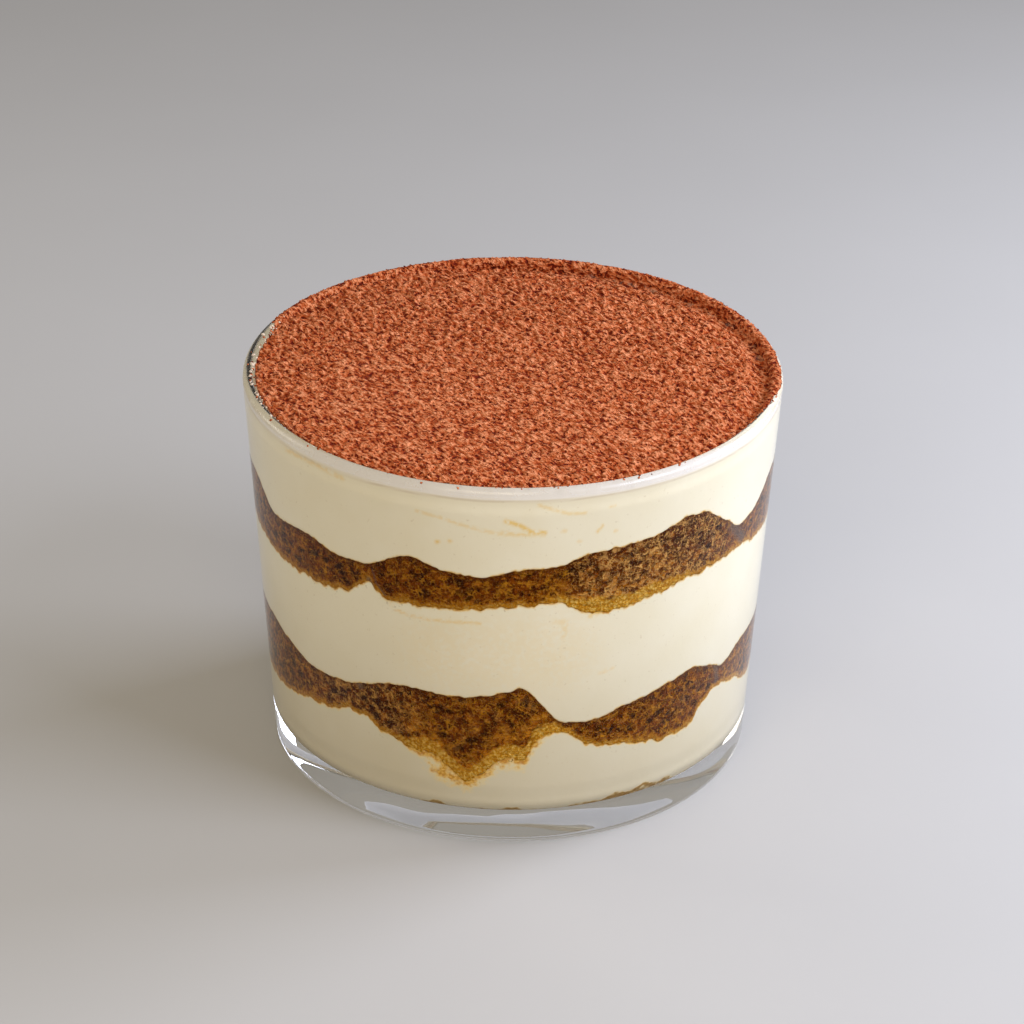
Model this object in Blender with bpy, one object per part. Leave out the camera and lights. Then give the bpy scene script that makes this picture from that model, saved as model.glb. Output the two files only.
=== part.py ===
"""Tiramisu in a clear glass tumbler: cream, soaked sponge and cocoa in wavy layers up to the rim.

Metres, +Z up. The origin is the middle of the glass's foot, on the surface it stands on, and -Y is the front.
Angles run round the glass in degrees: 0 is the front, 90 the right side (+X), 180 the back.
"""

from math import cos, pi, radians, sin

import bmesh
import bpy

MM = 0.001

# The glass: a pressed tumbler with a thick floor, a rounded rim and a slightly hollow underside.
GLASS_HEIGHT = 64 * MM
RIM_RADIUS = 42 * MM
FOOT_RADIUS = 38 * MM
WALL = 2 * MM
FLOOR_HEIGHT = 5.5 * MM
HEEL_RADIUS = 2 * MM
CORNER_RADIUS = 2.5 * MM
HOLLOW_RADIUS = 33 * MM
HOLLOW_DEPTH = 0.8 * MM
GLASS_STEPS = 72
ARC_STEPS = 3
MERGE_DISTANCE = 0.01 * MM

# The food: each layer runs right through the glass, and stays clear of its neighbours by a hair.
FOOD_STEPS = 100
RING_SHARES = (0.45, 0.8, 1)
GAP = 0.3 * MM
WAVE_DECAY = 3
CREASE_ANGLE = 40

# Where each layer meets the wall: (degrees, height in millimetres).
LOWER_SPONGE_BASE = (
    (-77, 14.5), (-64, 15.5), (-51, 17.4), (-36, 19.8), (-31, 17.6), (-24, 16.2), (-16, 15.0), (-13, 12.4),
    (-9, 11.2), (-5, 14.0), (0, 16.0), (5, 16.2), (8, 20.6), (12, 20.2), (18, 17.9), (27, 16.4), (40, 15.0),
    (47, 15.2), (51, 18.0), (57, 19.4), (65, 18.2), (76, 14.8), (96, 15.8), (114, 17.6), (135, 14.2),
    (156, 16.6), (175, 17.8), (200, 14.4), (222, 16.2), (246, 18.0), (265, 15.2),
)
LOWER_SPONGE_TOP = (
    (-73, 26.7), (-62, 25.4), (-50, 23.7), (-41, 24.1), (-31, 26.2), (-24, 27.1), (-12, 26.7), (-3, 27.6),
    (3, 28.7), (6, 27.2), (9, 23.6), (13, 22.2), (17, 21.7), (25, 23.0), (36, 24.6), (46, 25.7), (53, 24.2),
    (59, 22.8), (66, 24.2), (78, 24.6), (96, 25.4), (115, 27.4), (136, 25.6), (156, 24.0), (176, 25.6),
    (200, 27.4), (222, 24.4), (242, 25.6), (265, 27.0),
)
UPPER_SPONGE_BASE = (
    (-72, 41.1), (-62, 40.1), (-47, 40.5), (-36, 42.0), (-31.5, 44.2), (-28, 42.2), (-16, 42.2), (-4, 43.0),
    (10, 44.0), (14, 42.2), (21, 41.2), (34, 42.6), (48, 43.4), (61, 43.4), (71, 42.0), (80, 41.6),
    (97, 42.2), (120, 41.0), (145, 43.4), (165, 42.0), (190, 40.8), (215, 42.6), (240, 41.4), (262, 41.6),
)
UPPER_SPONGE_TOP = (
    (-74, 50.6), (-63, 47.2), (-50, 47.9), (-40, 46.9), (-33, 47.2), (-22, 50.5), (-15, 49.0), (-6, 48.4),
    (2, 49.9), (10, 50.2), (16, 51.8), (25, 52.4), (33, 52.9), (40, 54.2), (45, 54.0), (52, 51.0), (61, 47.4),
    (67, 48.4), (77, 51.2), (94, 52.0), (112, 50.4), (132, 48.6), (152, 50.2), (172, 52.2), (192, 50.8),
    (212, 48.8), (228, 49.8), (248, 52.2), (268, 51.4),
)

# The cream comes close to the rim at the front left and lies lower at the back right.
BRIM_HEIGHT = 62.9 * MM
BRIM_DROP = 0.8 * MM
BRIM_HIGH_ANGLE = -25
COCOA_THICKNESS = 1.0 * MM
COCOA_DOME = 0.3 * MM
COCOA_DOME_POWER = 4

# name: colour, roughness, share of light let through
FINISHES = {
    "clear_glass": ((0.93, 0.96, 0.96), 0.03, 1.0),
    "cream": ((0.86, 0.80, 0.66), 0.45, 0.0),
    "sponge": ((0.32, 0.15, 0.045), 0.6, 0.0),
    "cocoa": ((0.38, 0.12, 0.045), 0.9, 0.0),
}


def outer_radius(height):
    """The tapered outside of the glass, which reaches the rim's full radius where the rim starts to round."""
    return FOOT_RADIUS + (RIM_RADIUS - FOOT_RADIUS) * height / (GLASS_HEIGHT - WALL / 2)


def inner_radius(height):
    return outer_radius(height) - WALL


def arc(centre, radius, start, end, steps=ARC_STEPS):
    """Points (radius, height) on a profile's arc, from start to end degrees above the outward direction."""
    turns = [radians(start + (end - start) * i / steps) for i in range(steps + 1)]
    return [(centre[0] + radius * cos(t), centre[1] + radius * sin(t)) for t in turns]


def basin(inset):
    """The inside of the glass from its floor's middle to the top of its rounded corner, shrunk by inset."""
    top = FLOOR_HEIGHT + CORNER_RADIUS
    centre = (inner_radius(top) - CORNER_RADIUS, top)
    return [(0, FLOOR_HEIGHT + inset)] + arc(centre, CORNER_RADIUS - inset, -90, 0)


def hollow():
    """The underside from the standing ring to the middle, a shallow bowl."""
    shares = [1 - i / ARC_STEPS for i in range(ARC_STEPS + 1)]
    return [(HOLLOW_RADIUS * s, HOLLOW_DEPTH * (1 - s * s)) for s in shares]


def glass_profile():
    """From the floor's middle up the inside, over the rim, down the outside and under the foot."""
    rim = arc((RIM_RADIUS - WALL / 2, GLASS_HEIGHT - WALL / 2), WALL / 2, 180, 0, 2 * ARC_STEPS)
    heel_centre = (outer_radius(HEEL_RADIUS) - HEEL_RADIUS, HEEL_RADIUS)
    heel = arc(heel_centre, HEEL_RADIUS, 0, -90)
    return basin(0) + rim + heel + hollow()


def wall_curve(points):
    """A closed curve through (degrees, millimetres) points: height in metres by angle, with no overshoot."""
    angles = [a for a, _ in points]
    heights = [h * MM for _, h in points]
    count = len(points)
    angles.append(angles[0] + 360)
    heights.append(heights[0])
    slopes = [(heights[i + 1] - heights[i]) / (angles[i + 1] - angles[i]) for i in range(count)]
    tangents = [0.0 if a * b <= 0 else 2 * a * b / (a + b) for a, b in zip(slopes[-1:] + slopes, slopes)]
    tangents.append(tangents[0])

    def height(angle):
        angle = (angle - angles[0]) % 360 + angles[0]
        i = next(k for k in range(count) if angle <= angles[k + 1])
        span = angles[i + 1] - angles[i]
        t = (angle - angles[i]) / span
        lift = (t - 1) ** 2 * t * tangents[i] + (t - 1) * t**2 * tangents[i + 1]
        return heights[i] + (heights[i + 1] - heights[i]) * t * t * (3 - 2 * t) + span * lift

    return height


def layer_surface(points):
    """A surface between two layers, by angle and share of the way from the axis to the wall.

    Its waves are those of the wall curve, and they die away to the curve's mean height at the middle."""
    edge = wall_curve(points)
    level = sum(edge(a) for a in range(360)) / 360
    return lambda angle, share: level + (edge(angle) - level) * share**WAVE_DECAY


def brim(angle, share):
    """The top of the cream, tilted a little, and highest at the wall at BRIM_HIGH_ANGLE."""
    return BRIM_HEIGHT - BRIM_DROP * (1 - share * cos(radians(angle - BRIM_HIGH_ANGLE))) / 2


def cocoa_top(angle, share):
    return brim(angle, share) + COCOA_THICKNESS + COCOA_DOME * (1 - share**COCOA_DOME_POWER)


def food_ring(surface, share, offset):
    """A ring of (angle, radius, height) points on a surface raised by offset. Share 1 lies along the wall."""
    ring = []
    for i in range(FOOD_STEPS):
        angle = 360 * i / FOOD_STEPS
        height = surface(angle, share) + offset
        ring.append((radians(angle), share * (inner_radius(height) - GAP), height))
    return ring


def even_ring(radius, height):
    return [(2 * pi * i / FOOD_STEPS, radius, height) for i in range(FOOD_STEPS)]


def lathe(name, profile, finish):
    """A solid turned from a profile of (radius, height) points."""
    mesh = bpy.data.meshes.new(name)
    mesh.from_pydata([(r, 0, z) for r, z in profile], [(i, i + 1) for i in range(len(profile) - 1)], [])
    piece = add_piece(name, mesh, finish)
    turn = piece.modifiers.new("turn", "SCREW")
    turn.steps = turn.render_steps = GLASS_STEPS
    turn.use_merge_vertices = True
    turn.merge_threshold = MERGE_DISTANCE
    turn.use_smooth_shade = True
    return piece


def band(shape, inner, outer):
    """Joins two loops of corners. Every seam runs the same way, so that surfaces a gap apart never cross."""
    for i in range(FOOD_STEPS):
        shape.faces.new((inner[i - 1], inner[i], outer[i]))
        shape.faces.new((inner[i - 1], outer[i], outer[i - 1]))


def sheet(shape, middle, rings):
    """Adds a surface from its middle height out through rings, and gives back its edge."""
    loops = [[shape.verts.new((r * sin(a), -r * cos(a), z)) for a, r, z in ring] for ring in rings]
    centre = shape.verts.new((0, 0, middle))
    for i in range(FOOD_STEPS):
        shape.faces.new((centre, loops[0][i - 1], loops[0][i]))
    for inner, outer in zip(loops, loops[1:]):
        band(shape, inner, outer)
    return loops[-1]


def food_solid(name, under, over, finish):
    """A closed solid between two surfaces, each given by its middle height and its rings."""
    shape = bmesh.new()
    band(shape, sheet(shape, *under), sheet(shape, *over))
    bmesh.ops.recalc_face_normals(shape, faces=shape.faces)
    mesh = bpy.data.meshes.new(name)
    shape.to_mesh(mesh)
    shape.free()
    mesh.shade_smooth()
    mesh.set_sharp_from_angle(angle=radians(CREASE_ANGLE))
    return add_piece(name, mesh, finish)


def food_surface(surface, offset):
    """A surface's middle height and rings, all raised by offset."""
    return surface(0, 0) + offset, [food_ring(surface, share, offset) for share in RING_SHARES]


def layer(name, lower, upper, finish):
    """A layer of the food between two surfaces, half a gap inside each."""
    return food_solid(name, food_surface(lower, GAP / 2), food_surface(upper, -GAP / 2), finish)


def bottom_layer(name, upper, finish):
    """The lowest layer, which fills the glass's rounded basin."""
    floor, *corner = basin(GAP)
    under = floor[1], [even_ring(radius, height) for radius, height in corner]
    return food_solid(name, under, food_surface(upper, -GAP / 2), finish)


def add_piece(name, mesh, finish):
    piece = bpy.data.objects.new(name, mesh)
    mesh.materials.append(bpy.data.materials[finish])
    bpy.context.scene.collection.objects.link(piece)
    return piece


def make_materials():
    for name, (colour, roughness, clear) in FINISHES.items():
        material = bpy.data.materials.new(name)
        material.use_nodes = True
        shader = material.node_tree.nodes["Principled BSDF"]
        shader.inputs["Base Color"].default_value = (*colour, 1)
        shader.inputs["Roughness"].default_value = roughness
        shader.inputs["Metallic"].default_value = 0
        shader.inputs["Transmission Weight"].default_value = clear


def build():
    for old in list(bpy.data.objects):
        bpy.data.objects.remove(old)
    make_materials()

    sponge_lower_base = layer_surface(LOWER_SPONGE_BASE)
    sponge_lower_top = layer_surface(LOWER_SPONGE_TOP)
    sponge_upper_base = layer_surface(UPPER_SPONGE_BASE)
    sponge_upper_top = layer_surface(UPPER_SPONGE_TOP)

    lathe("glass", glass_profile(), "clear_glass")
    bottom_layer("cream_bottom", sponge_lower_base, "cream")
    layer("sponge_lower", sponge_lower_base, sponge_lower_top, "sponge")
    layer("cream_middle", sponge_lower_top, sponge_upper_base, "cream")
    layer("sponge_upper", sponge_upper_base, sponge_upper_top, "sponge")
    layer("cream_top", sponge_upper_top, brim, "cream")
    layer("cocoa", brim, cocoa_top, "cocoa")


build()
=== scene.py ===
"""The looks of the tiramisu in its glass: clear glass, cream pressed on it, soaked crumb and grainy cocoa.

Lengths are metres, written in millimetres with MM. Angles go round the glass: 0 is the front (-Y), 90 the
right (+X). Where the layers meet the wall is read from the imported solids.
"""

from itertools import product
from math import pi, radians

import bmesh
import bpy
import numpy as np
from mathutils import Matrix, Vector


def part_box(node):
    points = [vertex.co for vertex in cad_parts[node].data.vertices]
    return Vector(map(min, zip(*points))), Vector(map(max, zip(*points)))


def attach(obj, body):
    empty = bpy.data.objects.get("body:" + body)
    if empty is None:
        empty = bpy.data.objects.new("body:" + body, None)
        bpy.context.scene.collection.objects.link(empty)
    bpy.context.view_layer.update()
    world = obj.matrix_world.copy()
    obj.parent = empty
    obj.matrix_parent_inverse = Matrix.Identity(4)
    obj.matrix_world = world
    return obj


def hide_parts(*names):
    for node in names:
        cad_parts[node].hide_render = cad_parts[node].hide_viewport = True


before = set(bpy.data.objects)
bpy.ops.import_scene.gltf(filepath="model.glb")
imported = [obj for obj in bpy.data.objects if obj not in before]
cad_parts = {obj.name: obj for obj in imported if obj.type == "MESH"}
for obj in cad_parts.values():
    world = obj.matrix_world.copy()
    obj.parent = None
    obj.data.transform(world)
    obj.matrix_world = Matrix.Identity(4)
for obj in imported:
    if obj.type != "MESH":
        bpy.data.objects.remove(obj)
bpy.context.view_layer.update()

MM = 0.001

# The glass.
GLASS_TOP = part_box("glass")[1]
HEIGHT = GLASS_TOP.z
RIM_RADIUS = GLASS_TOP.x
FOOT_RADIUS = 38 * MM
WALL = 2 * MM
FLOOR_HEIGHT = 5.5 * MM
HEEL_RADIUS = 2 * MM
CORNER_RADIUS = 2.5 * MM
HOLLOW_RADIUS = 33 * MM
HOLLOW_DEPTH = 0.8 * MM
RIPPLE = 0.15 * MM
GLASS_STEPS = 256
CORNER_STEPS = 10

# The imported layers, from the bottom up: points round each one's side, and its gap to the wall.
LAYERS = ("cream_bottom", "sponge_lower", "cream_middle", "sponge_upper", "cream_top", "cocoa")
CAD_STEPS = 100
CAD_GAP = 0.3 * MM

# How far the food reaches into the wall, so that no air shows between them.
CREAM_REACH = 0.04 * MM
SIDE_REACH = 0.22 * MM
SPONGE_REACH = 0.28 * MM

# How the layers lie on the floor of the glass and on each other.
REST_GAP = 0.06 * MM
OVERLAP = 0.15 * MM
UNDER_COCOA = 0.8 * MM
BELOW_BRIM = 0.4 * MM

# How deep the sponge's bubbles are cut where they meet the wall.
BIG_PIT = 0.20 * MM
SMALL_PIT = 0.07 * MM

# The rings of a layer's hidden faces, as shares of its radius, and how fast its waves die away inwards.
LID_SHARES = (0.25, 0.5, 0.75, 0.9, 0.97)
WAVE_DECAY = 3

# How finely the food is cut up.
FOOD_STEPS = 960
SPONGE_ROWS = 56
CREAM_ROWS = 44
COCOA_RINGS = 178
DUST_STEPS = 760
DUST_ROWS = 14

# The powder: the direction that it's combed in, and the degrees of the rim that are dusted, nearly bare, and
# flecked with cream.
COMBED = (0.63, -0.77)
DUST_RANGE = (44, 260)
BARE_RANGE = (-115, 40)
FLECK_RANGE = (244, 300)
DUSTED_GRAINS = 1700
BARE_GRAINS = 60
LOOSE_GRAINS = 1500
FLECKS = 70

# The camera, as in the photo: its place, how far it looks down and rolls in degrees, and its lens in mm.
CAMERA_PLACE = (0.1 * MM, -516.3 * MM, 313.4 * MM)
CAMERA_DOWN = 28.05
CAMERA_ROLL = 0.66
LENS = 129.5
SENSOR = 36

# The stage: half its width, and its level just below the foot of the glass.
FLOOR_REACH = 4.0
FLOOR_LEVEL = -0.05 * MM

TURN = 2 * pi * np.arange(FOOD_STEPS) / FOOD_STEPS


# Repeatable noise ---------------------------------------------------------------------------------

def chance(cells, seed):
    """A repeatable number from 0 to 1 for each whole-number cell."""
    bits = np.full(cells.shape[:-1], seed * 2654435761 & 0xFFFFFFFF, np.uint32)
    for axis, factor in enumerate((73856093, 19349663, 83492791)):
        bits = bits ^ (cells[..., axis] * factor & 0xFFFFFFFF).astype(np.uint32)
        bits = (bits ^ bits >> 15) * np.uint32(0x2C1B3C6D)
        bits = (bits ^ bits >> 12) * np.uint32(0x297A2D39)
    return (bits ^ bits >> 15) / 0xFFFFFFFF


def noise(points, size, seed):
    """Smooth noise from -1 to 1, with bumps about size across."""
    place = points / size
    cell = np.floor(place).astype(np.int64)
    t = place - cell
    t = t * t * (3 - 2 * t)
    total = 0
    for corner in product((0, 1), repeat=3):
        weight = np.prod(np.where(corner, t, 1 - t), axis=-1)
        total = total + weight * chance(cell + corner, seed)
    return total * 2 - 1


def bubbles(points, size, seed):
    """Scattered bubbles about size across: how far a point is from the wall between two, and whose it is."""
    place = points / size
    home = np.floor(place).astype(np.int64)
    near = np.full(place.shape[:-1], 9.0)
    far = near.copy()
    owner = np.zeros_like(near)
    for step in product((-1, 0, 1), repeat=3):
        cell = home + step
        middle = cell + np.stack([chance(cell, seed + k) for k in (1, 2, 3)], -1)
        gap = np.linalg.norm(place - middle, axis=-1)
        closer = gap < near
        far = np.where(closer, near, np.minimum(far, gap))
        owner = np.where(closer, chance(cell, seed), owner)
        near = np.minimum(near, gap)
    return far - near, owner


def smooth(value, start, end):
    """0 at start, 1 at end, and eased between."""
    t = np.clip((value - start) / (end - start), 0, 1)
    return t * t * (3 - 2 * t)


# Places -------------------------------------------------------------------------------------------

def outer_radius(height):
    """The outside of the glass, which tapers straight down from its rim."""
    return FOOT_RADIUS + (RIM_RADIUS - FOOT_RADIUS) * height / (HEIGHT - WALL / 2)


def inner_radius(height):
    return outer_radius(height) - WALL


def cream_radius(height):
    """The cream's side: level with the sponge's, but only just in the wall at the floor and under the rim."""
    deep = smooth(height, 8 * MM, 11 * MM) * (1 - smooth(height, 59 * MM, 61 * MM))
    return inner_radius(height) + CREAM_REACH + (SIDE_REACH - CREAM_REACH) * deep


def ring(radius, height, turn=TURN):
    """Points round the glass's axis."""
    return np.stack(np.broadcast_arrays(radius * np.sin(turn), -radius * np.cos(turn), height), -1)


def on_rim(angle, turn, drop=0.0):
    """Points on the rim's rounded top, at an angle turned up from outward, or let down the wall by drop."""
    radius = RIM_RADIUS - WALL / 2 + WALL / 2 * np.cos(angle) - drop * (RIM_RADIUS - FOOT_RADIUS) / HEIGHT
    return ring(radius, HEIGHT - WALL / 2 + WALL / 2 * np.sin(angle) - drop, turn)


def between(turn, start, end, easing):
    """1 where an angle lies between start and end degrees, eased over some degrees at both."""
    middle = (start + end) / 2
    half = (end - start) / 2
    away = np.abs((np.degrees(turn) - middle + 180) % 360 - 180)
    return 1 - smooth(away, half - easing / 2, half + easing / 2)


def wall_heights(node):
    """The lowest and highest height of a packed layer's side at even steps round the wall."""
    corners = np.array([vertex.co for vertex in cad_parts[node].data.vertices])
    on_wall = np.hypot(corners[:, 0], corners[:, 1]) > inner_radius(corners[:, 2]) - 1.5 * CAD_GAP
    side = corners[on_wall]
    step = np.rint(np.arctan2(side[:, 0], -side[:, 1]) / (2 * pi) * CAD_STEPS) % CAD_STEPS
    heights = [side[step == i, 2] for i in range(CAD_STEPS)]
    return np.array([some.min() for some in heights]), np.array([some.max() for some in heights])


def round_the_wall(values, turn):
    """A smooth closed curve through values at even steps."""
    place = turn / (2 * pi) * len(values)
    step = np.floor(place).astype(int)
    t = place - step
    a, b, c, d = (values[(step + k) % len(values)] for k in (-1, 0, 1, 2))
    return b + t / 2 * (c - a + t * (2 * a - 5 * b + 4 * c - d + t * (3 * (b - c) + d - a)))


WALL_HEIGHTS = {node: wall_heights(node) for node in LAYERS}


def join(lower, upper, ragged, seed):
    """Heights along the wall where two layers meet, made ragged by broad and fine crumbs."""
    level = round_the_wall((WALL_HEIGHTS[lower][1] + WALL_HEIGHTS[upper][0]) / 2, TURN)
    place = ring(inner_radius(level), level)
    crumbs = 0.6 * noise(place, 1.5 * MM, seed) + 0.4 * noise(place, 0.6 * MM, seed + 1)
    return level + ragged * crumbs


# Meshes -------------------------------------------------------------------------------------------

def piece(name, points, faces, fields=None, **looks):
    """Makes an object from points and faces, with one number for each point in every field."""
    mesh = bpy.data.meshes.new(name)
    mesh.from_pydata(points.reshape(-1, 3).tolist(), [], faces)
    for field, values in (fields or {}).items():
        attribute = mesh.attributes.new(field, "FLOAT", "POINT")
        attribute.data.foreach_set("value", np.asarray(values, np.float32).ravel())
    mesh.shade_smooth()
    made = bpy.data.objects.new(name, mesh)
    bpy.context.scene.collection.objects.link(made)
    dress(made, **looks)
    return made


def dress(made, material, slot, node):
    """Gives a piece its material, and puts it in place of a CAD node."""
    made.data.materials.append(material)
    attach(made, "root")
    if node:
        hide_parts(node)


def strips(rows, count, start=0):
    """Four-sided faces between successive rings, facing out where the rings go up."""
    first = np.arange(count)
    second = (first + 1) % count
    quads = []
    for row in range(rows - 1):
        low, high = start + row * count, start + (row + 1) * count
        quads.append(np.stack((low + first, low + second, high + second, high + first), -1))
    return np.concatenate(quads).tolist()


def fan(middle, start, count, up):
    """Triangles from a middle point to a ring."""
    first = np.arange(count)
    second = (first + 1) % count
    sides = (first, second) if up else (second, first)
    return np.stack((np.full(count, middle), start + sides[0], start + sides[1]), -1).tolist()


def closed_skin(name, rings, base, top, fields=None, **looks):
    """A closed piece of rings stacked from its underside's middle out and up to its top's middle."""
    rows, count = rings.shape[:2]
    points = np.concatenate((rings.reshape(-1, 3), [[0, 0, base], [0, 0, top]]))
    faces = strips(rows, count)
    faces += fan(rows * count, 0, count, up=False)
    faces += fan(rows * count + 1, (rows - 1) * count, count, up=True)
    padded = {name: np.append(values.ravel(), (0, 0)) for name, values in (fields or {}).items()}
    return piece(name, points, faces, padded, **looks)


def lid(edge, reach):
    """Rings from the middle of a layer's hidden face out to its edge, where the waves are full."""
    level = edge.mean()
    rings = []
    for share in LID_SHARES:
        height = level + (edge - level) * share**WAVE_DECAY
        rings.append(ring(share * (inner_radius(height) + reach), height))
    return rings


def buried(values, under, over):
    """A side's field carried on over the rings hidden below and above it."""
    return np.concatenate((values[:1].repeat(under, 0), values, values[-1:].repeat(over, 0)))


def side_heights(low, high, rows):
    """Rows of heights from one join up to the next."""
    return low + (high - low) * np.linspace(0, 1, rows + 1)[:, None]


# Materials ----------------------------------------------------------------------------------------

def add(tree, kind, inputs=(), **settings):
    """Adds a shader node. Each input takes a value or another node's output."""
    made = tree.nodes.new("ShaderNode" + kind)
    for name, value in settings.items():
        setattr(made, name, value)
    for name, value in dict(inputs).items():
        if isinstance(value, bpy.types.NodeSocket):
            tree.links.new(value, made.inputs[name])
        else:
            made.inputs[name].default_value = value
    return made


def field(tree, name):
    """A number that the mesh holds for each point."""
    return add(tree, "Attribute", attribute_name=name).outputs["Fac"]


def grain(tree, size, detail=2.0, place=None):
    """Noise from 0 to 1 with bumps about size across, in the object's own space unless told otherwise."""
    place = place or add(tree, "TexCoord").outputs["Object"]
    return add(tree, "TexNoise", {"Vector": place, "Scale": 1 / size, "Detail": detail}).outputs["Fac"]


def height_of(tree):
    """The height above the floor."""
    return add(tree, "SeparateXYZ", {0: add(tree, "TexCoord").outputs["Object"]}).outputs["Z"]


def ease(tree, value, start, end, low=0.0, high=1.0):
    """Goes from low to high, eased, as a value goes from start to end."""
    inputs = {"Value": value, "From Min": start, "From Max": end, "To Min": low, "To Max": high}
    return add(tree, "MapRange", inputs, interpolation_type="SMOOTHSTEP").outputs["Result"]


def times(tree, a, b):
    """One value scaled by another."""
    return add(tree, "Math", {0: a, 1: b}, operation="MULTIPLY").outputs[0]


def mix(tree, share, a, b):
    """A colour between a and b."""
    colours = {6: (*a, 1) if isinstance(a, tuple) else a, 7: (*b, 1) if isinstance(b, tuple) else b}
    return add(tree, "Mix", {0: share, **colours}, data_type="RGBA").outputs[2]


def ramp(tree, value, stops):
    """A colour read from stops of (position, colour) by a value from 0 to 1."""
    made = add(tree, "ValToRGB", {"Fac": value})
    marks = made.color_ramp.elements
    while len(marks) < len(stops):
        marks.new(0.5)
    for mark, (position, colour) in zip(marks, stops):
        mark.position = position
        mark.color = (*colour, 1)
    return made.outputs["Color"]


def warped(tree, size, reach):
    """The object's own space, pulled about by soft noise."""
    place = add(tree, "TexCoord").outputs["Object"]
    pull = add(tree, "TexNoise", {"Vector": place, "Scale": 1 / size, "Detail": 1.0}).outputs["Color"]
    pull = add(tree, "VectorMath", {0: pull, 1: (0.5, 0.5, 0.5)}, operation="SUBTRACT").outputs[0]
    pull = add(tree, "VectorMath", {0: pull, "Scale": 2 * reach}, operation="SCALE").outputs[0]
    return add(tree, "VectorMath", {0: place, 1: pull}, operation="ADD").outputs[0]


def drawn_out(tree, along, share):
    """The object's own space, with what lies in it drawn out along a level direction by a share below 1."""
    place = add(tree, "TexCoord").outputs["Object"]
    across = (-along[1], along[0], 0)
    x, y, z = (
        add(tree, "VectorMath", {0: place, 1: axis}, operation="DOT_PRODUCT").outputs["Value"]
        for axis in ((*along, 0), across, (0, 0, 1))
    )
    return add(tree, "CombineXYZ", {0: times(tree, x, share), 1: y, 2: z}).outputs[0]


def crumb(tree, place, size):
    """Crumb cells about size across: a random tone for each, and the distance to the wall between two."""
    inputs = {"Vector": place, "Scale": 1 / size}
    tone = add(tree, "TexVoronoi", inputs).outputs["Color"]
    edge = add(tree, "TexVoronoi", inputs, feature="DISTANCE_TO_EDGE").outputs["Distance"]
    return add(tree, "SeparateColor", {0: tone}).outputs[0], edge


def weighed(tree, *terms):
    """The sum of values times weights."""
    total = 0.0
    for value, weight in terms:
        total = add(tree, "Math", {0: value, 1: weight, 2: total}, operation="MULTIPLY_ADD").outputs[0]
    return total


def bump(tree, height, distance):
    """A surface raised by up to distance where height is 1."""
    return add(tree, "Bump", {"Height": height, "Distance": distance, "Strength": 1.0}).outputs["Normal"]


def new_material(name):
    """An empty material, its nodes and its shader."""
    material = bpy.data.materials.new(name)
    material.use_nodes = True
    tree = material.node_tree
    return material, tree, tree.nodes["Principled BSDF"]


def wire(tree, shader, **sockets):
    """Sets or links the shader's sockets, named with _ for a space."""
    for name, value in sockets.items():
        target = shader.inputs[name.replace("_", " ")]
        if isinstance(value, bpy.types.NodeSocket):
            tree.links.new(value, target)
        else:
            target.default_value = value


def golden(tree):
    """Coffee-soaked threads of crumb, pale to amber, as at the ragged underside of the sponge."""
    thread = ease(tree, grain(tree, 0.45 * MM, detail=2), 0.30, 0.70)
    return ramp(tree, thread, (
        (0.0, (0.50, 0.19, 0.008)), (0.5, (0.63, 0.30, 0.022)), (1.0, (0.80, 0.49, 0.11)),
    ))


def cream_material():
    """Ivory mascarpone: faintly mottled, yellow where oil has settled, golden where it meets soaked crumb,
    with painted shade towards the bottom and a painted highlight band under the rim.
    """
    material, tree, shader = new_material("cream")
    cloud = grain(tree, 9 * MM, detail=3)
    colour = mix(tree, cloud, (0.85, 0.757, 0.548), (0.92, 0.848, 0.675))
    height = height_of(tree)
    # Painted shade: the cream is darkened towards the bottom of the glass, where less light reaches.
    deep = ease(tree, height, 0.65 * HEIGHT, 0.08 * HEIGHT, 0.0, 0.44)
    colour = mix(tree, deep, colour, (0.38, 0.30, 0.17))
    fleck = ease(tree, grain(tree, 0.5 * MM, detail=1), 0.70, 0.78)
    colour = mix(tree, times(tree, fleck, 0.35), colour, (0.62, 0.50, 0.32))
    oil = times(tree, field(tree, "oil"), ease(tree, grain(tree, 0.8 * MM), 0.25, 0.6))
    colour = mix(tree, oil, colour, (0.85, 0.56, 0.14))

    # Coffee that has soaked in, pale at first, then golden, and brown in the corner of the glass's floor.
    soak = weighed(tree, (field(tree, "soak"), 1.0), (grain(tree, 1.1 * MM, detail=4), 2.4), (1.0, -1.2))
    colour = mix(tree, ease(tree, soak, -0.4, 0.6, 0.0, 0.7), colour, (0.84, 0.62, 0.25))
    colour = mix(tree, ease(tree, soak, 0.2, 0.9, 0.0, 0.9), colour, golden(tree))
    corner = ease(tree, height, 9 * MM, 7.5 * MM, 0.0, 0.75)
    colour = mix(tree, times(tree, ease(tree, soak, 0.0, 0.6), corner), colour, (0.24, 0.13, 0.035))

    # Stray crumbs, which come in patches.
    speck = ease(tree, grain(tree, 0.45 * MM, detail=1), 0.62, 0.70)
    speck = times(tree, speck, ease(tree, grain(tree, 5 * MM, detail=1), 0.5, 0.62))
    colour = mix(tree, times(tree, field(tree, "crumbs"), speck), colour, (0.30, 0.16, 0.03))
    # Painted highlight: the cream just under the rim is paled where the glass's rounded rim catches the
    # light, with a painted shade line where the rounding ends.
    colour = mix(tree, field(tree, "brim"), colour, (0.93, 0.87, 0.83))
    colour = mix(tree, field(tree, "brim_line"), colour, (0.50, 0.36, 0.24))
    wire(
        tree, shader, Base_Color=colour, Roughness=ease(tree, cloud, 0.3, 0.7, 0.32, 0.45),
        Specular_IOR_Level=0.08, Normal=bump(tree, grain(tree, 1.2 * MM, detail=3), 0.03 * MM),
    )
    return material


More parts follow.
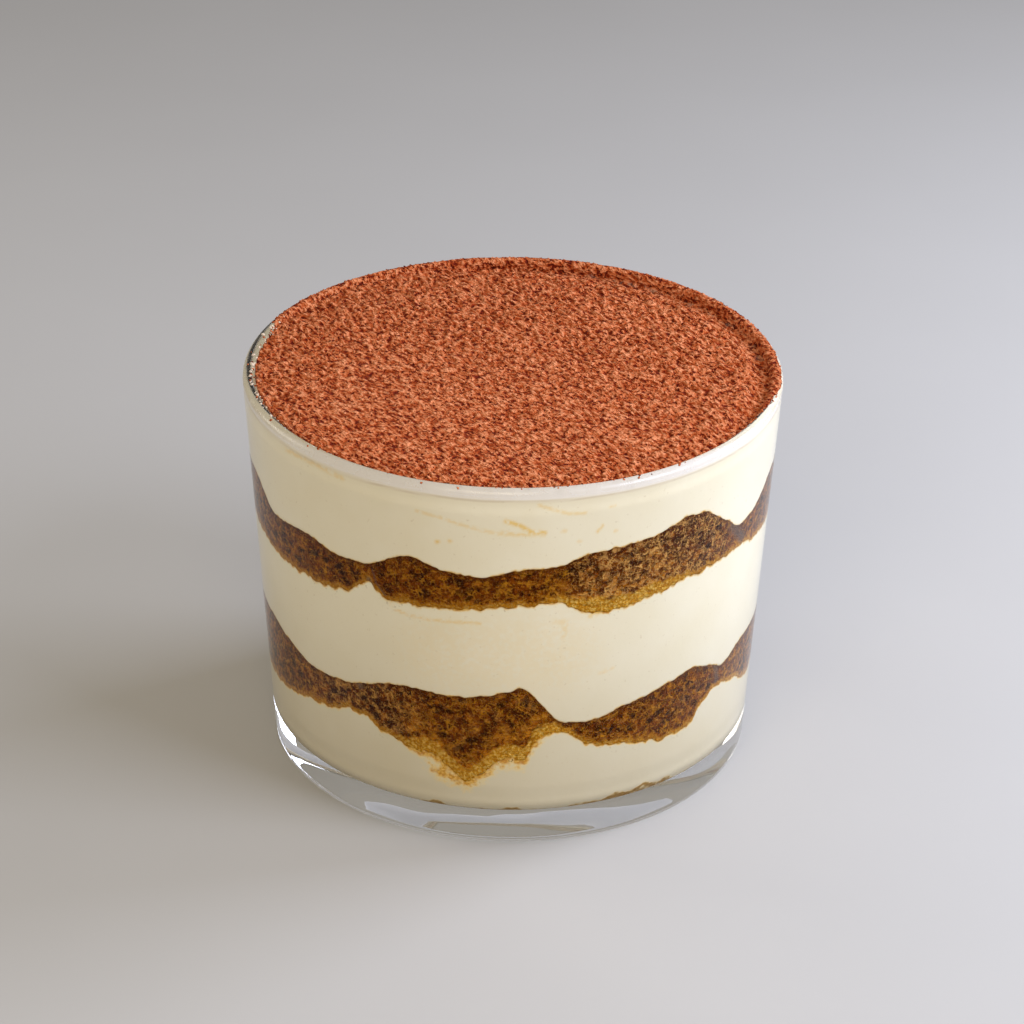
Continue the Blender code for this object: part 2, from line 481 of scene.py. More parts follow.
def sponge_material():
    """Soaked sponge: thin tan crumb walls round amber and dark brown holes, under a dark skin, with painted
    shade in its pits and painted glints and highlights on its crumb.
    """
    material, tree, shader = new_material("sponge")
    place = warped(tree, 1.5 * MM, 0.45 * MM)
    big_tone, big_edge = crumb(tree, place, 1.15 * MM)
    small_tone, small_edge = crumb(tree, place, 0.48 * MM)
    patch = grain(tree, 3.5 * MM, detail=2)
    mottle = grain(tree, 1.3 * MM, detail=2)
    fine = grain(tree, 0.3 * MM, detail=2)
    gold = field(tree, "gold")
    dry_and_sheen = field(tree, "dry_and_sheen")

    # The holes, each of one tone, in brown or golden crumb. Where the crumb is dry and more strongly painted
    # with light and shade, their tones differ more.
    clump = weighed(tree, (grain(tree, 2.4 * MM, detail=2, place=place), 1.0), (1.0, -0.5))
    clump = times(tree, clump, weighed(tree, (dry_and_sheen, 1.3), (1.0, 0.2)))
    tone = weighed(
        tree, (big_tone, 0.53), (small_tone, 0.53), (fine, 0.75), (mottle, 1.1), (patch, 0.6),
        (clump, 1.0), (dry_and_sheen, -0.08), (1.0, -1.37),
    )
    dark = ramp(tree, tone, (
        (0.0, (0.030, 0.004, 0.0002)), (0.33, (0.115, 0.020, 0.0003)),
        (0.66, (0.24, 0.053, 0.001)), (1.0, (0.46, 0.155, 0.010)),
    ))
    rich = ramp(tree, tone, (
        (0.0, (0.16, 0.032, 0.0003)), (0.33, (0.37, 0.095, 0.002)),
        (0.66, (0.62, 0.22, 0.008)), (1.0, (0.86, 0.50, 0.08)),
    ))
    colour = mix(tree, gold, dark, rich)

    # The walls between the holes, which show in places, then the painted shade in the pits, and the skin.
    wall = weighed(tree, (ease(tree, big_edge, 0.12, 0.02), 0.8), (ease(tree, small_edge, 0.16, 0.02), 0.7))
    shown = weighed(tree, (grain(tree, 1.0 * MM, detail=3), 1.0), (dry_and_sheen, 0.03))
    shown = times(tree, wall, ease(tree, shown, 0.42, 0.62, 0.05, 0.95))
    colour = mix(tree, shown, colour, mix(tree, dry_and_sheen, (0.50, 0.20, 0.010), (0.72, 0.38, 0.10)))
    colour = mix(tree, field(tree, "painted_pit_shade"), colour, (0.030, 0.006, 0.0003))
    skin = weighed(tree, (field(tree, "below"), 1.0), (patch, 1.0), (grain(tree, 0.9 * MM, detail=2), 1.8))
    colour = mix(tree, ease(tree, skin, 2.4, 1.4, 0.0, 0.75), colour, (0.095, 0.022, 0.003))

    # Dark and light chunks, partly the crumb's own tone and partly painted shade and painted highlight: how
    # much of each there is, and how much more where it's dry and painted more strongly.
    chunk = grain(tree, 1.1 * MM, detail=2, place=place)
    for start, end, share, dry_share, chunk_shade_and_highlight in (
        (0.50, 0.41, 0.35, 0.35, (0.065, 0.011, 0.0005)),
        (0.56, 0.64, 0.10, 0.30, (0.72, 0.36, 0.10)),
    ):
        much = weighed(tree, (dry_and_sheen, dry_share), (1.0, share))
        colour = mix(tree, times(tree, ease(tree, chunk, start, end), much), colour, chunk_shade_and_highlight)
    # Painted glints: small pale specks stand in for wet highlights on the crumb.
    painted_glint = ease(tree, grain(tree, 0.36 * MM, detail=1), 0.59, 0.68)
    painted_glint = times(tree, painted_glint, weighed(tree, (dry_and_sheen, 0.15), (1.0, 0.4)))
    colour = mix(tree, painted_glint, colour, mix(tree, dry_and_sheen, (0.56, 0.25, 0.045), (0.76, 0.40, 0.13)))

    # The torn, soaked fringe at the bottom, and the gaps between sponge fingers.
    ragged = grain(tree, 1.1 * MM, detail=4)
    torn = weighed(tree, (field(tree, "above"), -0.8), (ragged, 2.4), (gold, 2.5), (1.0, -1.05))
    fringe = mix(tree, gold, (0.38, 0.13, 0.005), golden(tree))
    colour = mix(tree, ease(tree, torn, 0.1, 1.1, 0.0, 0.95), colour, fringe)
    colour = mix(tree, field(tree, "seam"), colour, (0.13, 0.085, 0.065))
    relief = weighed(tree, (wall, 0.4), (mottle, 1.2), (small_tone, 0.3), (fine, 0.7))
    wire(
        tree, shader, Base_Color=colour, Roughness=ease(tree, patch, 0.3, 0.7, 0.5, 0.3),
        Specular_IOR_Level=0.02, Normal=bump(tree, relief, 0.35 * MM),
    )
    return material


def cocoa_material():
    """Dry cocoa powder: reddish brown worms of clumped grains, with painted shade in the clefts and painted
    light on the crests, and pale grains.
    """
    material, tree, shader = new_material("cocoa")
    place = drawn_out(tree, COMBED, 0.5)
    worm = grain(tree, 0.54 * MM, detail=1, place=place)
    hole = ease(tree, grain(tree, 0.62 * MM, detail=1, place=warped(tree, 2 * MM, 0.5 * MM)), 0.42, 0.30)
    speck = grain(tree, 0.24 * MM, detail=1, place=place)
    patch = grain(tree, 7 * MM, detail=2)
    # Painted light and shade: the relief that raises the powder also sets its colour, dark in the clefts and
    # light on the crests.
    relief = weighed(tree, (worm, 2.3), (hole, -0.6), (speck, 0.6), (field(tree, "crest_light_and_tone"), 0.2), (1.0, -1.02))
    tone = weighed(tree, (relief, 1.0), (patch, 0.08), (1.0, -0.06))
    colour = ramp(tree, tone, (
        (0.0, (0.15, 0.008, 0.0002)), (0.25, (0.33, 0.045, 0.004)),
        (0.50, (0.52, 0.124, 0.035)), (1.0, (0.78, 0.285, 0.13)),
    ))
    colour = mix(tree, field(tree, "bare"), colour, (0.23, 0.17, 0.13))
    wire(
        tree, shader, Base_Color=colour, Roughness=ease(tree, patch, 0.3, 0.7, 0.85, 0.95),
        Specular_IOR_Level=0.15, Normal=bump(tree, relief, 0.5 * MM),
    )
    return material


def glass_material():
    """Clear glass, very slightly uneven, with a faint bloom on its rim.

    Light goes straight through it to the food, and its wall reflects little, so that the pale stage doesn't
    veil the food behind it.
    """
    material, tree, shader = new_material("clear_glass")
    wave = grain(tree, 14 * MM, detail=1)
    height = height_of(tree)
    rim = ease(tree, height, HEIGHT - 1.6 * MM, HEIGHT - 0.9 * MM)
    base = ease(tree, height, FLOOR_HEIGHT + 1.5 * MM, FLOOR_HEIGHT)
    bare = add(tree, "Math", {0: rim, 1: base}, operation="MAXIMUM").outputs[0]
    bloom = times(tree, rim, ease(tree, grain(tree, 2.5 * MM, detail=3), 0.3, 0.7, 0.18, 0.34))
    wire(
        tree, shader, Base_Color=mix(tree, wave, (0.985, 0.99, 0.99), (0.995, 0.998, 0.996)), Roughness=bloom,
        IOR=1.5, Transmission_Weight=1.0, Normal=bump(tree, wave, 0.02 * MM),
        Specular_Tint=mix(tree, bare, (0.03, 0.03, 0.03), (1.0, 1.0, 1.0)),
    )
    surface = shader.outputs["BSDF"]
    for ray in ("Is Shadow Ray", "Is Diffuse Ray"):
        path = add(tree, "LightPath").outputs[ray]
        clear = add(tree, "BsdfTransparent", {"Color": (0.96, 0.97, 0.97, 1)}).outputs["BSDF"]
        surface = add(tree, "MixShader", {0: path, 1: surface, 2: clear}).outputs["Shader"]
    tree.links.new(surface, tree.nodes["Material Output"].inputs["Surface"])
    return material


def floor_material():
    """A plain pale matt floor."""
    material, tree, shader = new_material("pale_floor")
    haze = grain(tree, 60 * MM, detail=3)
    wire(tree, shader, Base_Color=mix(tree, haze, (0.47, 0.46, 0.45), (0.50, 0.49, 0.48)), Roughness=0.6)
    return material


# The glass ----------------------------------------------------------------------------------------

def bend(centre, radius, start, end, steps):
    """Profile points (radius, height) on an arc, from start to end degrees above the outward direction."""
    turn = np.radians(np.linspace(start, end, steps + 1))
    return np.stack((centre[0] + radius * np.cos(turn), centre[1] + radius * np.sin(turn)), -1)


def inner_corner(reach=0.0):
    """The rounded corner between the glass's floor and its wall, widened by reach."""
    top = FLOOR_HEIGHT + CORNER_RADIUS
    return bend((inner_radius(top) - CORNER_RADIUS, top), CORNER_RADIUS + reach, -90, 0, CORNER_STEPS)


def make_glass(material):
    """The tumbler, turned from one profile, with the underside of its floor slightly rippled."""
    shares = np.linspace(0, 1, 12)[1:]
    floor = np.stack((inner_corner()[0, 0] * shares[:-1], np.full(len(shares) - 1, FLOOR_HEIGHT)), -1)
    rim = bend((RIM_RADIUS - WALL / 2, HEIGHT - WALL / 2), WALL / 2, 180, 0, 24)
    heel_centre = (outer_radius(HEEL_RADIUS) - HEEL_RADIUS, HEEL_RADIUS)
    heel = bend(heel_centre, HEEL_RADIUS, 0, -90, 14)
    hollow = np.stack((HOLLOW_RADIUS * shares, HOLLOW_DEPTH * (1 - shares**2)), -1)[::-1]
    profile = np.concatenate((floor, inner_corner(), rim, heel, hollow))[::-1]
    turn = 2 * pi * np.arange(GLASS_STEPS) / GLASS_STEPS
    rings = np.stack([ring(r, z, turn) for r, z in profile])
    ripple = smooth(HEEL_RADIUS - rings[..., 2], 0.2 * MM, 1.2 * MM) * (0.5 + 0.5 * noise(rings, 9 * MM, 5))
    ripple = ripple * smooth(outer_radius(0) - np.linalg.norm(rings[..., :2], axis=-1), 1.5 * MM, 5 * MM)
    rings[..., 2] += RIPPLE * ripple
    looks = {"material": material, "slot": "clear_glass", "node": "glass"}
    closed_skin("tumbler", rings, HOLLOW_DEPTH, FLOOR_HEIGHT, **looks)


# Cream --------------------------------------------------------------------------------------------

# Yellow oil in the cream by the wall: a streak's points (degrees, mm), half width in mm and strength.
OIL_STREAKS = (
    (((-20, 58.7), (-15, 58.2), (-9, 57.1), (-2, 56.1), (7, 55.9)), 0.22, 0.45),
    (((-1, 58.4), (2, 57.6), (4, 56.6), (7, 56.3)), 0.30, 0.9),
    (((-2, 56.5), (1, 56.1), (5, 56.2)), 0.22, 0.6),
    (((5.5, 61.1), (9.5, 60.0), (12, 59.3), (15.5, 59.2)), 0.22, 0.5),
    (((18.3, 55.6), (19.4, 56.6)), 0.22, 0.6),
    (((22.4, 55.3), (22.7, 55.3)), 0.22, 0.6),
    (((14.3, 54.4), (14.8, 54.4)), 0.22, 0.4),
    (((10.8, 56.4), (11.4, 56.4)), 0.25, 0.4),
    (((21, 59.6), (22, 59.7)), 0.18, 0.4),
    (((-15.7, 53.9), (-15.5, 53.9)), 0.28, 0.8),
    (((-13, 54.3), (-12.8, 54.3)), 0.25, 0.6),
    (((-56, 60.9), (-48, 61.2), (-43, 61.2), (-38, 60.8)), 0.35, 0.5),
    (((-28.5, 42.2), (-26, 40.6), (-23, 40.1), (-18, 40.0), (-12, 40.2), (-6.5, 40.3)), 0.20, 0.6),
    (((10, 40.6), (12, 40.3), (11.8, 38)), 0.5, 0.35),
    (((17.7, 41.0), (19.5, 41.4)), 0.4, 0.6),
    (((20.6, 30.3), (23.6, 30.8)), 0.25, 0.35),
    (((-14, 34), (9, 35)), 6.0, 0.14),
)


# Wet crumb that has slid below the tip of the lower sponge: degrees and mm of both ends, and its spread.
LOOSE_CRUMB = ((-16.2, 12.5), (-11.8, 11.5))
LOOSE_REACH = 1.8 * MM

# Millimetres that count as nowhere near.
FAR_OFF = 50


def away_from(start, end, turn, height):
    """Distance along the unrolled wall from the line between two places, given in degrees and millimetres."""
    reach = inner_radius(HEIGHT / 2)
    here = np.stack(np.broadcast_arrays(((turn + pi) % (2 * pi) - pi) * reach, height), -1)
    first, last = (np.array((radians(angle) * reach, level * MM)) for angle, level in (start, end))
    along = last - first
    share = np.clip((here - first) @ along / (along @ along), 0, 1)
    return np.linalg.norm(here - first - share[..., None] * along, axis=-1)


def oil_field(turn, height):
    """How oily the cream is by the wall."""
    most = np.zeros(np.broadcast_shapes(turn.shape, height.shape))
    for path, half_width, strength in OIL_STREAKS:
        for start, end in zip(path, path[1:]):
            away = away_from(start, end, turn, height)
            most = np.maximum(most, strength * (1 - smooth(away, 0.2 * half_width * MM, 2 * half_width * MM)))
    return most


def coffee_stain(places):
    """Where coffee has run down to the corner of the glass's floor, at the front."""
    height = places[..., 2] / MM
    ragged = 0.8 * noise(places, 3.5 * MM, 61) + 0.4 * noise(places, 1.2 * MM, 62)
    rise = 6.2 + 1.1 * between(TURN, 18, 40, 14) + ragged
    return 1.6 * between(TURN, -38, 50, 12) * (1 - smooth(height, rise - 0.5, rise + 0.5)) - 1


def cream_fields(node, heights, low, high):
    """What the cream's material needs to know about its side."""
    far = np.full_like(heights, FAR_OFF)
    under_crumb = far if node == "cream_top" else (high - heights) / MM
    over_crumb = far if low is None else (heights - low) / MM
    under_rim = (HEIGHT - heights) / MM
    reach = 0.4 + (1.6 * between(TURN, -22, 8, 8) if node == "cream_bottom" else 0)
    soak = np.maximum(1 - under_crumb / reach, 0.6 - over_crumb / 0.4).clip(-1, 1)
    if node == "cream_bottom":
        soak = np.maximum(soak, 1 - away_from(*LOOSE_CRUMB, TURN, heights) / LOOSE_REACH)
    return {
        "soak": soak,
        "crumbs": smooth(under_crumb, 2.4, 0.4) * (0.3 + 0.7 * between(TURN, -8, 3, 4)),
        "oil": oil_field(TURN, heights),
        # Painted highlight under the rim, and a painted shade line where the glass's rounded rim ends.
        "brim": 0.8 * smooth(under_rim, 2.3, 1.9),
        "brim_line": 0.4 * np.exp(-((under_rim - 2.35) / 0.16)**2),
    }


def make_cream(node, low, high, material):
    """A layer of cream between two joins. The lowest has no low join: it starts on the floor of the glass."""
    if low is None:
        # The first points of the corner are lifted, so that the cream rests just clear of the flat floor.
        corner = inner_corner(CREAM_REACH)
        corner[:4] += np.outer((1.0, 1.0, 1.0, 0.5), (0, CREAM_REACH + REST_GAP))
        under = [ring(corner[0, 0] * share, corner[0, 1]) for share in LID_SHARES]
        under += [ring(r, z) for r, z in corner[:-1]]
        start = np.full(FOOD_STEPS, corner[-1, 1])
        base = corner[0, 1]
    else:
        start = low - OVERLAP
        under = lid(start, CREAM_REACH)
        base = start.mean()
    end = high + OVERLAP
    heights = side_heights(start, end, CREAM_ROWS)
    side = ring(cream_radius(heights), heights)
    over = lid(end, CREAM_REACH)[::-1]
    if node == "cream_top":
        # The hidden top lies below the flat underside of the cocoa.
        over = [edge - (0, 0, 2 * UNDER_COCOA) for edge in over]

    rings = np.concatenate((under, side, over))
    fields = cream_fields(node, heights, low, high)
    fields = {name: buried(values, len(under), len(over)) for name, values in fields.items()}
    if low is None:
        fields["soak"] = np.maximum(fields["soak"], coffee_stain(rings))
    closed_skin(node + "_layer", rings, base, end.mean(), fields, material=material, slot="cream", node=node)


# Sponge -------------------------------------------------------------------------------------------

# Where two sponge fingers meet: degrees and millimetres of both ends of the gap, and its half width in mm.
SEAMS = (
    ((-31.2, 46.6), (-30.4, 44.4), 0.14),
    ((-30.4, 44.4), (-28.2, 42.6), 0.16),
    ((-32.2, 44.6), (-31.2, 42.8), 0.45),
    ((56.5, 48.2), (61.5, 44.6), 0.9),
    ((-40.0, 27.5), (-36.0, 24.5), 0.6),
    ((55.0, 24.5), (56.5, 20.5), 0.6),
)


# Where coffee has turned the crumb golden: degrees from and to, and the degrees that each end is eased over.
SOAKED = {"sponge_lower": (-24, 11, 9), "sponge_upper": (12, 38, 14)}

# Where the crumb is dry, with stronger painted glints and highlights, or wet and duller if below 0: how much,
# and the same three angles.
DRY_AND_SHEEN = {
    "sponge_lower": ((0.7, -50, -24, 16),),
    "sponge_upper": ((1.0, 14, 52, 16), (-0.5, -34, 12, 10)),
}


def seams(heights):
    """How deep a place on the wall lies in a gap between two sponge fingers."""
    most = np.zeros_like(heights)
    for start, end, half_width in SEAMS:
        away = away_from(start, end, TURN, heights)
        most = np.maximum(most, 0.7 * (1 - smooth(away, 0.3 * half_width * MM, 1.6 * half_width * MM)))
    return most


def make_sponge(node, low, high, seed, material):
    """A layer of open crumb. Its bubbles are cut into the side that shows through the glass."""
    heights = side_heights(low, high, SPONGE_ROWS)
    place = ring(inner_radius(heights), heights)
    warp = np.stack([noise(place, 1.3 * MM, seed + k) for k in range(3)], -1) * 0.35 * MM
    squeezed = (place + warp) * (0.8, 0.8, 1.15)
    big_wall, big_owner = bubbles(squeezed, 1.25 * MM, seed + 10)
    small_wall, small_owner = bubbles(squeezed, 0.6 * MM, seed + 20)
    below = (high - heights) / MM
    above = (heights - low) / MM
    inside = smooth(below, 0.2, 1.2) * smooth(above, 0.3, 1.0)
    deep = smooth(big_owner, 0.72, 0.86) * smooth(big_wall, 0.05, 0.35) * inside
    shallow = smooth(small_wall, 0.05, 0.5) * (0.35 + 0.65 * small_owner)
    recess = (BIG_PIT * deep + SMALL_PIT * shallow) * inside

    ragged = above + 1.8 * noise(place, 3 * MM, seed + 30)
    gold = 0.5 * smooth(above, 2.2, 0.2) + between(TURN, *SOAKED[node]) * smooth(ragged, 8.0, 2.0)
    gold = np.clip(gold, 0, 1)
    # Painted shade: the deepest bubbles are darkened, as shade falls in them.
    painted_pit_shade = np.clip(0.95 * deep + 0.5 * smooth(small_owner, 0.7, 0.95) * shallow, 0, 1)
    painted_pit_shade = painted_pit_shade * inside * (1 - 0.6 * gold)
    dry_and_sheen = sum(strength * between(TURN, start, end, easing) for strength, start, end, easing in DRY_AND_SHEEN[node])
    dry_and_sheen = np.broadcast_to(dry_and_sheen, heights.shape)
    fields = {"below": below, "above": above, "gold": gold, "painted_pit_shade": painted_pit_shade, "dry_and_sheen": dry_and_sheen, "seam": seams(heights)}

    side = ring(inner_radius(heights) + SPONGE_REACH - recess, heights)
    under = lid(low, SPONGE_REACH)
    over = lid(high, SPONGE_REACH)[::-1]
    rings = np.concatenate((under, side, over))
    fields = {name: buried(values, len(under), len(over)) for name, values in fields.items()}
    looks = {"material": material, "slot": "sponge", "node": node}
    closed_skin(node + "_crumb", rings, low.mean(), high.mean(), fields, **looks)


# Cocoa --------------------------------------------------------------------------------------------

def cocoa_level(radius, turn):
    """The height of the cocoa before its relief: a low dome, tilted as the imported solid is."""
    wall = round_the_wall(WALL_HEIGHTS["cocoa"][1], turn % (2 * pi))
    mean = WALL_HEIGHTS["cocoa"][1].mean()
    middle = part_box("cocoa")[1].z
    share = radius / inner_radius(mean)
    level = middle - (middle - mean) * share**4 + (wall - mean) * share
    groove = between(turn, 50, 200, 40) * smooth(share, 0.90, 0.965) * (1 - 0.4 * smooth(share, 0.975, 1.0))
    return level - 0.75 * MM * groove


def cocoa_relief(points):
    """Powder clumped in short worms with sharp clefts between, from about -1 to 1."""
    along = points[..., :2] @ COMBED
    across = points[..., :2] @ (-COMBED[1], COMBED[0])
    places = np.stack((0.6 * along, across, 0 * along), -1)
    places = places + np.stack([noise(places, 1.5 * MM, 70 + k) for k in range(3)], -1) * 0.35 * MM
    broad = np.abs(noise(places, 1.3 * MM, 80))
    worms = np.abs(noise(places, 0.8 * MM, 81))
    return np.clip(0.6 * broad + 2.3 * worms, 0, 1.4) - 0.65 + 0.3 * noise(places, 0.5 * MM, 82)


def even_disc(rings):
    """A disc of even triangles: shares of its radius and angles of its points, and its faces."""
    shares = [0.0]
    turns = [0.0]
    faces = []
    start = 0
    for i in range(1, rings + 1):
        outer = start + max(1, 6 * (i - 1))
        shares += [i / rings] * (6 * i)
        turns += [2 * pi * k / (6 * i) for k in range(6 * i)]
        for side in range(6):
            for k in range(i):
                a = start + (side * (i - 1) + k) % max(1, 6 * (i - 1))
                b = outer + side * i + k
                c = outer + (side * i + k + 1) % (6 * i)
                faces.append((a, b, c))
                if k < i - 1:
                    faces.append((a, c, start + (side * (i - 1) + k + 1) % (6 * (i - 1))))
        start = outer
    return np.array(shares), np.array(turns), faces


def make_cocoa(material):
    """The layer of powder: a disc with relief out to the wall, a thin side and a flat underside."""
    shares, turns, faces = even_disc(COCOA_RINGS)
    flat = ring(shares * inner_radius(HEIGHT), 0 * turns, turns)
    relief = cocoa_relief(flat)
    broad = noise(flat, 11 * MM, 90)
    level = cocoa_level(shares * inner_radius(HEIGHT - WALL), turns)
    heights = np.minimum(level + (0.38 * relief + 0.08 * broad) * MM, HEIGHT - 0.02 * MM)
    top = ring(shares * (inner_radius(heights) + CREAM_REACH), heights, turns)

    edge = 6 * COCOA_RINGS
    edge_turn = turns[-edge:]
    foot = round_the_wall(WALL_HEIGHTS["cocoa"][0], edge_turn)
    foot = np.maximum(foot, heights[-edge:] - 0.5 * MM)
    lower = ring(inner_radius(foot) + CREAM_REACH, foot, edge_turn)
    under = ring(0.97 * inner_radius(foot), foot - UNDER_COCOA, edge_turn)
    points = np.concatenate((top, lower, under, [[0, 0, foot.mean() - UNDER_COCOA]]))
    faces += [quad[::-1] for quad in strips(3, edge, len(top) - edge)]
    faces += fan(len(points) - 1, len(top) + edge, edge, up=False)

    # Painted light: the higher the relief, the lighter the powder is painted.
    crest_light_and_tone = np.clip(0.5 + 0.55 * relief, 0, 1)
    near_wall = smooth(shares, 0.955, 0.985)
    scrape = smooth(0.6 * noise(flat, 1.6 * MM, 95) + 0.6 * noise(flat, 0.5 * MM, 96), 0.15, 0.5)
    bare = near_wall * scrape * (0.5 * between(turns, 95, 165, 20) + 0.35 * between(turns, -110, -60, 20))
    rest = np.zeros(2 * edge + 1)
    fields = {"crest_light_and_tone": np.append(crest_light_and_tone, rest + 0.5), "bare": np.append(np.clip(bare, 0, 1), rest)}
    piece("cocoa_powder", points, faces, fields, material=material, slot="cocoa", node="cocoa")


def dust_share(turns):
    """How much of the rim is dusted: none at the ends of the dusted range, all of it between."""
    start, end = np.radians(DUST_RANGE)
    return smooth(turns, start, start + 0.7) * smooth(turns, end, end - 0.28)


def make_dust(material):
    """Powder lying on the rim from the right side round the back to the left: a thin ragged band."""
    turns = np.radians(np.linspace(*DUST_RANGE, DUST_STEPS))[:, None]
    middle = ring(RIM_RADIUS, HEIGHT, turns)[:, 0]
    ragged = 0.6 * noise(middle, 2.0 * MM, 31) + 0.4 * noise(middle, 0.7 * MM, 32)

    # The band goes from down the inner wall to past the top. Degrees past 180 are a way down the wall.
    start = 275.0
    taper = 0.01 + 0.99 * dust_share(turns[:, 0])
    end = start + (52.0 + 22.0 * ragged - start) * taper
    share = np.linspace(0, 1, DUST_ROWS)
    angle = np.radians(start + (end[:, None] - start) * share)
    drop = WALL / 2 * np.maximum(angle - pi, 0)
    angle = np.minimum(angle, pi)
    flat = on_rim(angle, turns, drop)
    thick = 0.16 + 0.09 * noise(flat, 0.9 * MM, 33) + 0.07 * noise(flat, 0.45 * MM, 34)
    thick = thick * np.sin(pi * share)**0.4 * taper[:, None] * MM
    outward = ring(np.cos(angle), np.sin(angle), turns)
    top = flat + outward * thick[..., None]
    bottom = (flat - outward * 0.03 * MM)[:, ::-1]
    loops = np.concatenate((top, bottom), 1)
    rows, count = loops.shape[:2]
    faces = [quad[::-1] for quad in strips(rows, count)]
    faces.append(list(range(count)))
    faces.append(list(range((rows - 1) * count, rows * count))[::-1])
    crest_light_and_tone = np.clip(0.5 + 0.5 * noise(loops, 0.7 * MM, 35), 0, 1)
    piece("rim_dust", loops, faces, {"crest_light_and_tone": crest_light_and_tone}, material=material, slot="cocoa", node=None)


def scatter(name, middles, sizes, rng, **looks):
    """One piece of many small uneven lumps, each of one tone."""
    ball = bmesh.new()
    bmesh.ops.create_icosphere(ball, subdivisions=1, radius=1.0)
    corners = np.array([vertex.co for vertex in ball.verts])
    sides = np.array([[vertex.index for vertex in face.verts] for face in ball.faces])
    ball.free()
    lumps = corners * rng.uniform(0.6, 1.3, (len(middles), len(corners), 1))
    points = middles[:, None] + lumps * sizes[:, None, None]
    faces = sides + np.arange(len(middles))[:, None, None] * len(corners)
    tone = np.repeat(rng.uniform(0.3, 1.0, len(middles)), len(corners))
    # A lump's tone sets the cocoa's crest tone, and for cream flecks their share of the painted rim highlight
    # and painted rim shade line colours.
    fields = {"crest_light_and_tone": tone, "brim": tone, "brim_line": 0.3 + 0.5 * tone}
    piece(name, points, faces.reshape(-1, 3).tolist(), fields, node=None, **looks)


def make_grains(material):
    """Single grains of powder: thick on the dusted rim, sparse on its bare part and loose on the cocoa."""
    rng = np.random.default_rng(11)
    dusted = rng.uniform(*np.radians(DUST_RANGE), DUSTED_GRAINS)
    bare = rng.uniform(*np.radians(BARE_RANGE), BARE_GRAINS)
    dusted_angle = 186 - rng.uniform(0, 138, DUSTED_GRAINS) * dust_share(dusted)
    bare_angle = rng.uniform(60, 175, BARE_GRAINS)
    angle = np.radians(np.concatenate((dusted_angle, bare_angle)))
    rim = on_rim(angle, np.concatenate((dusted, bare)))
    radius = np.sqrt(rng.uniform(0, 0.97, LOOSE_GRAINS)) * inner_radius(HEIGHT - WALL)
    turns = rng.uniform(0, 2 * pi, LOOSE_GRAINS)
    loose = ring(radius, cocoa_level(radius, turns), turns)
    loose[:, 2] += 0.15 * MM * cocoa_relief(loose * (1, 1, 0))
    rim_sizes = rng.uniform(0.10, 0.26, len(rim)) * MM
    loose_sizes = rng.uniform(0.08, 0.17, len(loose)) * MM
    middles = np.concatenate((rim, loose))
    sizes = np.concatenate((rim_sizes, loose_sizes))
    scatter("cocoa_grains", middles, sizes, rng, material=material, slot="cocoa")


def make_flecks(material):
    """Flecks of cream left on the bare rim at the left, beside the cocoa."""
    rng = np.random.default_rng(23)
    turns = np.radians(rng.uniform(*FLECK_RANGE, FLECKS))
    angle = np.radians(rng.uniform(90, 178, FLECKS))
    sizes = rng.uniform(0.12, 0.32, FLECKS) * MM
    scatter("rim_flecks", on_rim(angle, turns), sizes, rng, material=material, slot="cream")


# Light, floor and camera --------------------------------------------------------------------------

def area_light(name, place, size, power, colour):
    """A square soft box that faces the middle of the glass."""
    data = bpy.data.lights.new(name, "AREA")
    data.size = size
    data.energy = power
    data.color = colour
    lamp = bpy.data.objects.new(name, data)
    lamp.location = place
    toward = Vector((0, 0, HEIGHT / 2)) - lamp.location
    lamp.rotation_euler = toward.to_track_quat("-Z", "Y").to_euler()
    bpy.context.scene.collection.objects.link(lamp)


def make_floor():
    """A plain pale stage, just below the foot of the glass."""
    mesh = bpy.data.meshes.new("floor")
    signs = ((-1, -1), (1, -1), (1, 1), (-1, 1))
    corners = [(x * FLOOR_REACH, y * FLOOR_REACH, FLOOR_LEVEL) for x, y in signs]
    mesh.from_pydata(corners, [], [(0, 1, 2, 3)])
    mesh.materials.append(floor_material())
    floor = bpy.data.objects.new("floor", mesh)
    bpy.context.scene.collection.objects.link(floor)


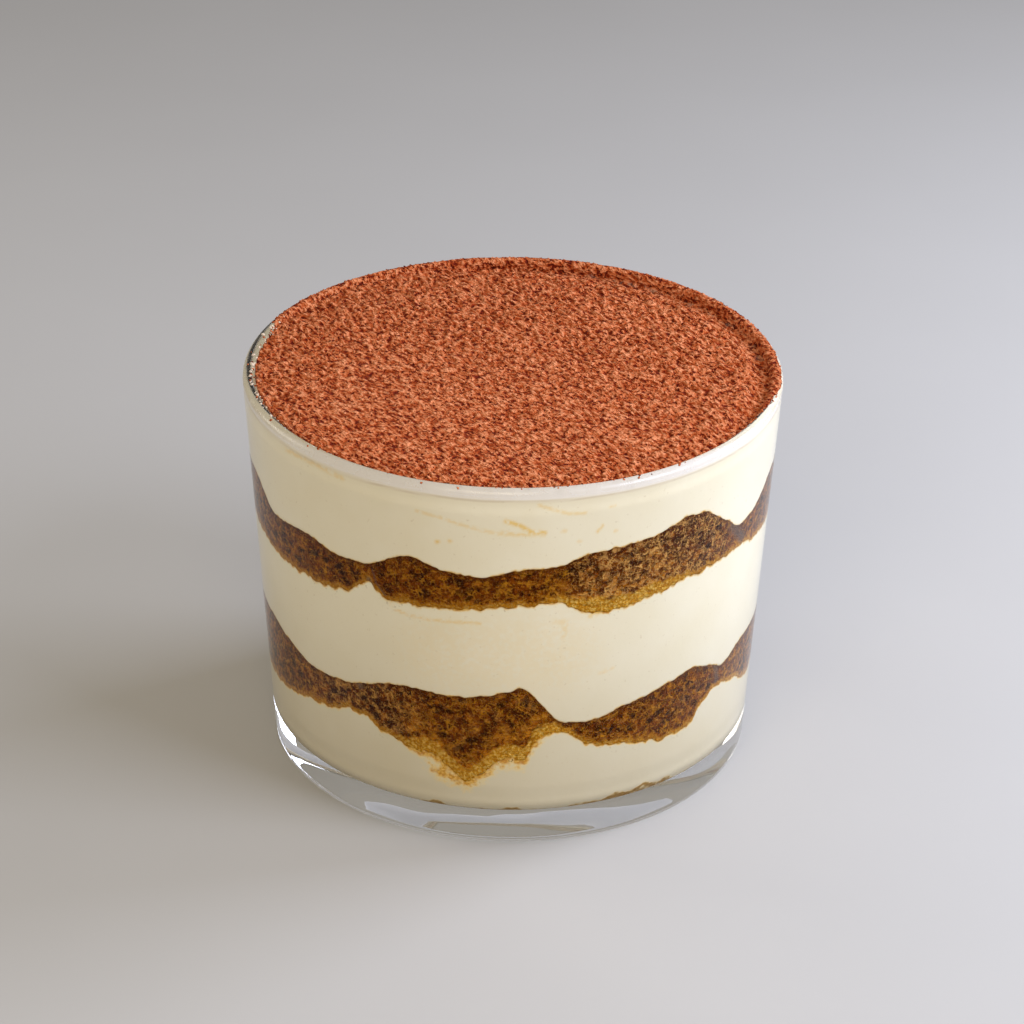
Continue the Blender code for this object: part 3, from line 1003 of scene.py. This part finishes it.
def make_studio():
    """Soft light: cool from the right, warm and weaker from the front, with a warm dim room round it."""
    scene = bpy.context.scene
    world = bpy.data.worlds.new("studio")
    world.use_nodes = True
    world.node_tree.nodes["Background"].inputs["Color"].default_value = (1.0, 0.93, 0.82, 1)
    world.node_tree.nodes["Background"].inputs["Strength"].default_value = 0.30
    scene.world = world
    area_light("key_back", (0.36, 0.14, 0.25), 0.22, 1.38, (1.0, 1.08, 1.30))
    area_light("key_front", (0.32, -0.18, 0.34), 0.22, 1.20, (1.0, 1.08, 1.30))
    area_light("front", (-0.06, -0.34, 0.36), 0.25, 0.76, (1.0, 0.86, 0.63))
    area_light("left_back", (-0.36, 0.14, 0.22), 0.18, 0.30, (1.0, 0.94, 0.84))
    scene.view_settings.view_transform = "Standard"
    scene.cycles.max_bounces = 12
    scene.cycles.diffuse_bounces = 3
    scene.cycles.glossy_bounces = 10
    scene.cycles.transmission_bounces = 12


def make_camera():
    """A long lens that looks down on the front of the glass, with a slight roll."""
    data = bpy.data.cameras.new("camera")
    data.lens = LENS
    data.sensor_width = SENSOR
    camera = bpy.data.objects.new("camera", data)
    tilt = Matrix.Rotation(radians(90 - CAMERA_DOWN), 4, "X")
    roll = Matrix.Rotation(radians(CAMERA_ROLL), 4, "Z")
    camera.matrix_world = Matrix.Translation(CAMERA_PLACE) @ tilt @ roll
    bpy.context.scene.collection.objects.link(camera)
    bpy.context.scene.camera = camera


def build():
    """Makes the glass, its food from the bottom up, what lies on the rim, and the studio."""
    cream = cream_material()
    sponge = sponge_material()
    cocoa = cocoa_material()
    joins = [
        join("cream_bottom", "sponge_lower", 0.85 * MM, 10),
        join("sponge_lower", "cream_middle", 0.32 * MM, 20),
        join("cream_middle", "sponge_upper", 0.75 * MM, 30),
        join("sponge_upper", "cream_top", 0.32 * MM, 40),
    ]
    brim = cocoa_level(inner_radius(HEIGHT - WALL), TURN) - BELOW_BRIM - OVERLAP
    make_glass(glass_material())
    make_cream("cream_bottom", None, joins[0], cream)
    make_sponge("sponge_lower", joins[0], joins[1], 100, sponge)
    make_cream("cream_middle", joins[1], joins[2], cream)
    make_sponge("sponge_upper", joins[2], joins[3], 200, sponge)
    make_cream("cream_top", joins[3], brim, cream)
    make_cocoa(cocoa)
    make_dust(cocoa)
    make_grains(cocoa)
    make_flecks(cream)
    make_floor()
    make_studio()
    make_camera()


build()
